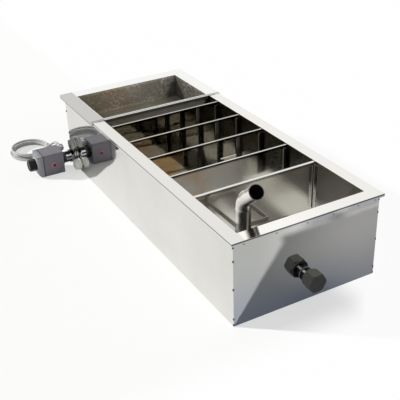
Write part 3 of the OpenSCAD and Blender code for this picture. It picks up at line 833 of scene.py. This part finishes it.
def right_wall_share(at):
    """The upper part of faces that look left."""
    low, high = 0.09, 0.13
    return at.leftward() * at.z.step(low, high)


def right_wall_painted_shade(at):
    """Painted shade on the upper part of faces that look left, darker in the middle chambers."""
    near, far = (136, 133, 130), (84, 82, 78)
    share = at.y.step(FIXED_Y - 0.06, FIXED_Y + 0.04)
    return right_wall_share(at), at.bench.blend(share, near, far)


def right_wall_haze(at):
    """Added roughness on the right wall."""
    return right_wall_share(at) * 0.2


def divider_haze(at):
    """Added roughness on the dividers: towards the outlet, and most on the left of the
    fourth one's front face."""
    clear_x, dull_x, rough_y, smooth_y, reach = 0.08, -0.02, -0.30, -0.12, 0.01
    fourth = at.y.near(FOURTH_Y, reach) * at.front() * (0.45 - at.x.step(dull_x, clear_x) * 0.39)
    return (1 - at.y.step(rough_y, smooth_y)) * 0.14 + right_wall_haze(at) + fourth


def flange_lines(at):
    """Dark lines along both edges of the fixed divider's flanges."""
    flange_y, line_from, line_to = FIXED_Y - 0.0092, 0.0050, 0.0062
    edge = (at.y - flange_y).absolute().step(line_from, line_to)
    return edge * at.along_sides(), (30, 29, 27)


def bead_faces_painted_shade(at):
    """Painted shade and highlight on the upright faces of the dividers' beads: dark, with a pale
    lower edge. The fixed divider's bead is painted pale all over."""
    foot, dark_from, soft = BEAD_TOP - 0.0094, BEAD_TOP - 0.0062, 0.0008
    pale = (1 - at.z.step(dark_from, dark_from + soft)).most(at.last())
    tone = at.bench.blend(pale, (66, 64, 60), (176, 174, 168))
    return at.z.step(foot, foot + soft) * at.upright(), tone


def right_guides(at):
    """Painted shade on the faces of the guides on the right that look to the outlet's end."""
    return at.front() * at.x.step(0.0, 0.5 * SHELL_X), (58, 56, 52)


def right_flange_painted_reflection(at):
    """Painted reflection on the fixed divider's flange on the right: dark above, bright with a
    greyer line below.
    """
    bright_below, dark_above, fold_y, fold_reach = 0.135, 0.165, FIXED_Y - 0.0090, 0.0022
    flange = 1 - at.y.step(FIXED_Y - 0.006, FIXED_Y - 0.004)
    flange = flange * at.x.step(IN_X - 0.0095, IN_X - 0.0065)
    fold = at.y.near(fold_y, fold_reach) * 0.7
    bright = at.bench.blend(fold, (252, 253, 254), (140, 142, 150))
    tone = at.bench.blend(at.z.step(bright_below, dark_above), bright, (72, 69, 66))
    return flange * at.leftward(), tone


def guide_slots_painted_shade(at):
    """Painted shade in the slots behind the guides' edges."""
    return at.x.absolute().step(IN_X - 0.0055, IN_X - 0.0045), (42, 41, 38)


def rear_ends_painted_shade(at):
    """Painted shade on faces near the side walls that look to the tray."""
    rear = at.north.step(0.5, 0.9)
    return rear * at.x.absolute().step(IN_X - 0.0165, IN_X - 0.0125), (84, 82, 78)


def tray_shade(at):
    """The left half of the tray, olive at the end and brown in the middle."""
    end_x, middle_x, right_x = -0.15, -0.04, 0.05
    tone = at.bench.blend(at.x.step(end_x, middle_x), (140, 136, 108), (196, 164, 138))
    return (1 - at.x.step(middle_x, right_x)) * 0.6, tone


def tray_painted_sparkle(at):
    """Painted highlights: silvery mottles, more of them on the right."""
    few_x, many_x = -0.10, 0.05
    speck = at.bench.noise(130.0, 3.0, 0.7, at.place).step(0.48, 0.60)
    clouds = at.bench.noise(20.0, 2.0, 0.5, at.place).step(0.38, 0.60)
    more = 0.4 + at.x.step(few_x, many_x) * 0.6
    return speck * (0.25 + clouds * 0.75) * more, (254, 254, 254)


def tray_corner_painted_shade(at):
    """Painted shade: dark wedges on both sides of the tray's rear right corner, wider at the foot.
    """
    deep = RIM_Z - at.z
    rear = (at.x + deep * 0.6).step(TRAY_X - 0.015, TRAY_X + 0.015) * at.front()
    rear = rear * at.y.step(TRAY_Y1 - 0.008, TRAY_Y1 - 0.002)
    right = (at.y - TRAY_Y1 + deep).step(-0.006, 0.006) * at.leftward()
    right = right * at.x.step(TRAY_X - 0.07, TRAY_X - 0.01)
    return (rear + right) * 0.85, (84, 82, 76)


def tray_front_painted_shade(at):
    """Painted shade on the outside of the tray's front wall and fold."""
    return at.front() * (1 - at.y.step(TRAY_Y0 + 0.001, TRAY_Y0 + 0.005)), (100, 98, 90)


def tray_floor(at):
    """The duller upper side of the tray's bottom."""
    return at.top() * (1 - at.z.step(TRAY_Z + 0.003, TRAY_Z + 0.007)), (160, 158, 142)


def tray_lip_painted_shade(at):
    """The turned-down lip of the tray's flanges, with a painted shadow line along its lower edge.
    """
    edge = TRAY_TOP - TRAY_LIP
    outside = at.x.absolute().step(HOOK_X - 0.021, HOOK_X - 0.011)
    outside = outside.most(at.y.step(HOOK_Y - 0.031, HOOK_Y - 0.011))
    line_share = at.z.step(edge + 0.0012, edge + 0.0022)
    tone = at.bench.blend(line_share, (84, 84, 84), (212, 212, 208))
    return outside * (1 - at.top()), tone


def tray_flange(at):
    """The tray's bright flanges, duller on the left, with a dull strip along the front one."""
    strip_y, strip_half, soft = TRAY_FRONT + 0.0062, 0.0026, 0.0008
    outside_strip = (at.y - strip_y).absolute().step(strip_half, strip_half + soft)
    brighter = at.x.step(-TRAY_X - 0.004, -TRAY_X + 0.002)
    plain = at.bench.blend(brighter, (206, 205, 201), (246, 246, 244))
    tone = at.bench.blend(outside_strip, (150, 147, 138), plain)
    return at.z.step(TRAY_TOP - 0.0008, TRAY_TOP - 0.0004) * at.up.step(0.7, 0.9), tone


def tube_steel_painted_light(name):
    """The suction pipe's steel, with painted reflections and shade. Lines along it are painted
    bright on the left and dark on the right of what faces the outlet's end. The upright part is
    streakier, with a narrower bright side; the arm's open end is painted darker, and its
    inside dark as painted shade. A point is inside when its distance from the arm's axis,
    sqrt(|d|^2 - (d . lean)^2) with d from the elbow's end, is less than the inner radius."""
    arm_from, arm_to, low_z, high_z = 0.06, 0.065, 0.205, 0.245
    inner_from, inner_to = PIPE_R - 0.0013, PIPE_R - 0.0010
    material, bench = new_material(name)
    place = bench.place()
    _, _, end, lean = pipe_elbow()
    away = bench.vector("SUBTRACT", place, end.tolist())
    far = bench.vector("LENGTH", away, out=1)
    along = bench.vector("DOT_PRODUCT", away, lean.tolist(), out=1)
    radius = (far**2 - along**2).most(0.0) ** 0.5
    inside = (1 - radius.step(inner_from, inner_to)) * along.step(-0.001, 0.0)
    across, ending = bench.toward((0.78, -0.42, -0.46)), bench.toward(lean.tolist())
    cloud = bench.noise(40.0, 3.0, 0.6, place)
    lines = bench.noise(90.0, 3.0, 0.6, bench.stretched((1, 1, 0.1), place))
    low = 1 - bench.axes(place)[2].step(low_z, high_z)
    bent = across + (cloud - 0.5) * 0.3 + (lines - 0.5) * (0.15 + low * 0.5) + low * 0.3
    side = bent.step(-0.62, 0.12)
    # Painted reflections: bright and dark bands by the way the surface faces.
    tint = bench.blend(bent.step(-1.02, -0.90), (120, 118, 112), (240, 239, 235))
    tint = bench.blend(side, tint, bench.blend(low, (32, 31, 29), (72, 71, 67)))
    tint = bench.blend(bent.step(0.54, 0.72), tint, (176, 174, 168))
    tint = bench.blend(bent.step(0.80, 0.88), tint, (60, 58, 55))
    mouth = ending.step(0.8, 0.95) * along.step(arm_from, arm_to)
    # Painted shade at the arm's open end and inside it.
    tint = bench.blend(mouth, tint, (92, 90, 86))
    tint = bench.blend(inside, tint, (16, 15, 14))
    bench.finish(
        {
            "Base Color": tint,
            "Metallic": 0.35 + side * 0.5 - inside * 0.3,
            "Roughness": 0.13 + lines * 0.08 + inside * 0.35,
            "Normal": bench.bump(lines * 0.7 + cloud * 0.3, 0.00006),
        }
    )
    return material


def chrome(name):
    """The heater neck's chrome, with painted reflections: dark and bright streaks along the tube,
    by how far up the surface faces, and a dark band near the head."""
    material, bench = new_material(name)
    place = bench.place()
    x, _, _ = bench.axes(place)
    lines = bench.noise(260.0, 3.0, 0.6, bench.stretched((0.08, 1, 1), place))
    up = bench.toward((0, 0, 1)) + (lines - 0.5) * 0.5
    # Painted reflections: streaks by how far up the surface faces.
    tint = bench.blend(up.step(-0.35, -0.10), (58, 58, 70), (226, 228, 234))
    tint = bench.blend(up.step(0.10, 0.22), tint, (40, 40, 56))
    tint = bench.blend(up.step(0.40, 0.50), tint, (214, 216, 222))
    tint = bench.blend(up.step(0.66, 0.80), tint, (24, 24, 32))
    dark_band = 1 - x.step(NECK_BAND_X - 0.0002, NECK_BAND_X + 0.0002)
    tint = bench.blend(dark_band, tint, (50, 48, 34))
    bench.finish(
        {
            "Base Color": tint,
            "Metallic": 1.0 - dark_band * 0.7,
            "Roughness": 0.08 + lines * 0.06 + dark_band * 0.3,
            "Normal": bench.bump(lines, 0.00002),
        }
    )
    return material


def plastic(name, tone, worn, rough=0.45, coat=0.0, dust_and_top_light=0.25, shine=0.5, areas=()):
    """Moulded plastic: a fine spark-eroded grain, slow clouds of tone, and a pale tint on what
    faces up, partly a dusting and partly painted light on top faces. Areas are as for steel."""
    material, bench = new_material(name)
    at = At(bench, (1, 1, 1))
    cloud = bench.noise(45.0, 4.0, 0.6, at.place)
    speck = bench.noise(1600.0, 2.0, 0.5, at.place)
    up = at.up.step(0.35, 0.95)
    share = (cloud * 0.7 + speck * 0.3).step(0.35, 0.75)
    tint = bench.blend(share, tone, worn)
    # A dusting and painted light: paler on what faces up.
    tint = bench.blend(up * cloud * dust_and_top_light, tint, (190, 188, 182))
    for area in areas:
        part, paint = area(at)
        tint = bench.blend(part, tint, paint)
    bench.finish(
        {
            "Base Color": tint,
            "Roughness": rough + (cloud - 0.5) * 0.16 + up * 0.05,
            "Coat Weight": coat,
            "Specular IOR Level": shine,
            "Normal": bench.bump(speck, 0.00006, 0.6),
        }
    )
    return material


def cap_flats_worn_and_lit(at):
    """The cap's six flats, paler: partly wear, and painted light above all on top."""
    flank = 1 - at.north.absolute().step(0.5, 0.9)
    return flank * (0.35 + at.up.step(0.35, 0.95) * 0.65), (112, 112, 104)


def nipple_painted_highlight(at):
    """A painted highlight along the nipple, up and to the left."""
    return at.bench.toward((-0.55, 0.0, 0.83)).step(0.965, 0.995), (236, 238, 242)


def head_seam(at):
    """The dark joint between the head's base and its lid."""
    return at.x.near(HEAD_SEAM_X, SEAM_REACH), (20, 20, 22)


def dress(material, slot, *names):
    """Gives carried-over solids a finish."""
    for name in names:
        node = NODES[name]
        node.data.materials.clear()
        node.data.materials.append(material)


place_camera()
make_sky()
make_sun()
make_floor()

outer_steel = steel(
    "outer_steel", (236, 236, 233), (214, 214, 211), rough=0.02, grain=(1, 1, 40), blur=0.03,
    areas=(ends_painted_shade, band_under_rim_painted_shade, line_under_rim),
)
inner_steel = steel(
    "inner_steel", (242, 242, 239), (232, 231, 228), rough=0.012, wave=0.0015, grain=(1, 1, 40),
    depth=0.0, blur=0.012, areas=(chambers_painted_shade, right_wall_painted_shade), haze=right_wall_haze,
)
rim_steel = steel(
    "rim_steel", (254, 254, 252), (242, 242, 239),
    areas=(ends_painted_shade, band_under_rim_painted_shade, lip_sides_painted_shade, lip_painted_shade_line, rim_flanges),
)
weld_steel = steel("weld_steel", (120, 119, 118), (76, 75, 76), 0.85, 0.32)
tray_steel = steel(
    "tray_steel", (218, 213, 204), (174, 167, 154), rough=0.45, wave=0.006, grain=(1, 1, 40),
    depth=0.00006, blur=0.1,
    areas=(tray_shade, tray_painted_sparkle, tray_floor, tray_corner_painted_shade, tray_front_painted_shade, tray_lip_painted_shade, tray_flange),
)
divider_steel = steel(
    "divider_steel", (238, 238, 235), (230, 230, 227), rough=0.012, wave=0.002, grain=(40, 1, 1),
    depth=0.0, blur=0.012,
    areas=(
        chambers_painted_shade, last_divider_painted_shade, gold_painted_reflections, bead_faces_painted_shade, rear_ends_painted_shade, right_flange_painted_reflection,
        flange_lines,
    ),
    haze=divider_haze,
)
guide_steel = steel(
    "guide_steel", (244, 240, 226), (224, 220, 206), 0.5, 0.12, grain=(1, 1, 40),
    areas=(right_guides, guide_slots_painted_shade, rear_ends_painted_shade),
)
pipe_steel = tube_steel_painted_light("pipe_steel")
bracket_steel = steel("bracket_steel", (190, 186, 178), (150, 146, 138), 0.8, 0.2, grain=(30, 1, 1))
plug_steel = steel("plug_steel", (166, 170, 165), (112, 115, 111), 0.9, 0.22, grain=(1, 30, 1))
fitting_steel = steel(
    "fitting_steel", (196, 195, 190), (158, 156, 150), 0.9, 0.18, grain=(1, 30, 1),
)
neck_chrome = chrome("neck_chrome")
element_metal = steel("element_metal", (150, 104, 72), (104, 70, 48), 0.9, 0.3, grain=(1, 30, 30))

outlet_plastic = plastic(
    "outlet_plastic", (54, 55, 56), (66, 67, 68), 0.42, shine=0.25, areas=(cap_flats_worn_and_lit,),
)
nipple_plastic = plastic(
    "nipple_plastic", (5, 5, 6), (12, 12, 14), 0.2, shine=0.12, dust_and_top_light=0.0, areas=(nipple_painted_highlight,),
)
seal_rubber = plastic("seal_rubber", (16, 16, 15), (28, 27, 24), 0.7, dust_and_top_light=0.08, shine=0.2)
fibre_seal = plastic("fibre_seal", (74, 66, 62), (58, 50, 48), 0.75, shine=0.2)
head_plastic = plastic(
    "head_plastic", (109, 106, 114), (119, 116, 124), 0.5, dust_and_top_light=0.04, areas=(head_seam,),
)
lid_plastic = plastic(
    "lid_plastic", (128, 129, 134), (142, 143, 148), 0.5, dust_and_top_light=0.02, areas=(head_seam,),
)
bezel_plastic = plastic("bezel_plastic", (196, 130, 146), (150, 70, 92), 0.4, dust_and_top_light=0.0)
dial_plastic = plastic("dial_plastic", (198, 198, 196), (176, 176, 174))
knob_plastic = plastic("knob_plastic", (6, 6, 7), (16, 16, 18), 0.35, dust_and_top_light=0.05, shine=0.2)
lamp_red = plastic("lamp_lens", (44, 6, 14), (84, 12, 26), 0.15, coat=0.2, dust_and_top_light=0.0, shine=0.2)
switch_plastic = plastic("switch_plastic", (196, 180, 150), (170, 154, 128), 0.5)
drain_plastic = plastic("drain_plastic", (236, 236, 232), (216, 216, 212), 0.4)
gland_plastic = plastic("gland_plastic", (198, 198, 200), (180, 180, 182))
cable_jacket = plastic("cable_jacket", (190, 190, 190), (168, 168, 168), 0.42)

dress(outer_steel, "outer_steel", "outer_shell")
dress(inner_steel, "inner_steel", "inner_tank")
dress(rim_steel, "rim_steel", "tank_rim")
dress(tray_steel, "tray_steel", "sieve_tray", "tray_grate")
dividers = [f"divider_{number}" for number in range(1, 5)]
dress(divider_steel, "divider_steel", *dividers, "fixed_divider")
dress(guide_steel, "divider_steel", "left_guides", "right_guides")
dress(pipe_steel, "pipe_steel", "suction_pipe")
dress(bracket_steel, "bracket_steel", "pipe_bracket", "pipe_clip")
dress(
    fitting_steel, "fitting_steel", "outlet_socket", "heater_socket", "fill_socket",
    "drain_socket", "lid_screws", "spindle", "sensor_pocket", "plug_pins",
)
dress(plug_steel, "fitting_steel", "fill_plug")
dress(neck_chrome, "neck_chrome", "heater_neck")
dress(element_metal, "element_metal", "heating_element")
dress(outlet_plastic, "outlet_plastic", "outlet_cap")
dress(nipple_plastic, "nipple_plastic", "outlet_nipple")
dress(seal_rubber, "seal_rubber", "outlet_seal", "head_gasket", "neck_ring")
dress(fibre_seal, "fibre_seal", "heater_gasket")
dress(head_plastic, "head_plastic", "head_base")
dress(lid_plastic, "lid_plastic", "head_lid")
dress(dial_plastic, "dial_plastic", "dial_ring")
dress(bezel_plastic, "dial_plastic", "lamp_bezel")
dress(knob_plastic, "knob_plastic", "knob")
dress(lamp_red, "lamp_lens", "lamp_lens")
dress(switch_plastic, "switch_plastic", "temperature_switch", "terminal_block")
dress(gland_plastic, "gland_plastic", "gland_body", "gland_nut")
dress(drain_plastic, "gland_plastic", "drain_plug")
dress(cable_jacket, "cable_jacket", "plug_body", "cable_boot")

make_tray_bottom(tray_steel)
make_tray_walls(tray_steel)
make_pipe_welds(pipe_steel)
make_bracket_welds(bracket_steel)
make_inner_welds(inner_steel)
make_outer_welds(weld_steel)
make_knob_mark(dial_plastic)
make_cable(cable_jacket)

bpy.context.scene.view_settings.view_transform = "Standard"
bpy.context.scene.cycles.max_bounces = BOUNCES
bpy.context.scene.cycles.glossy_bounces = GLOSSY_BOUNCES
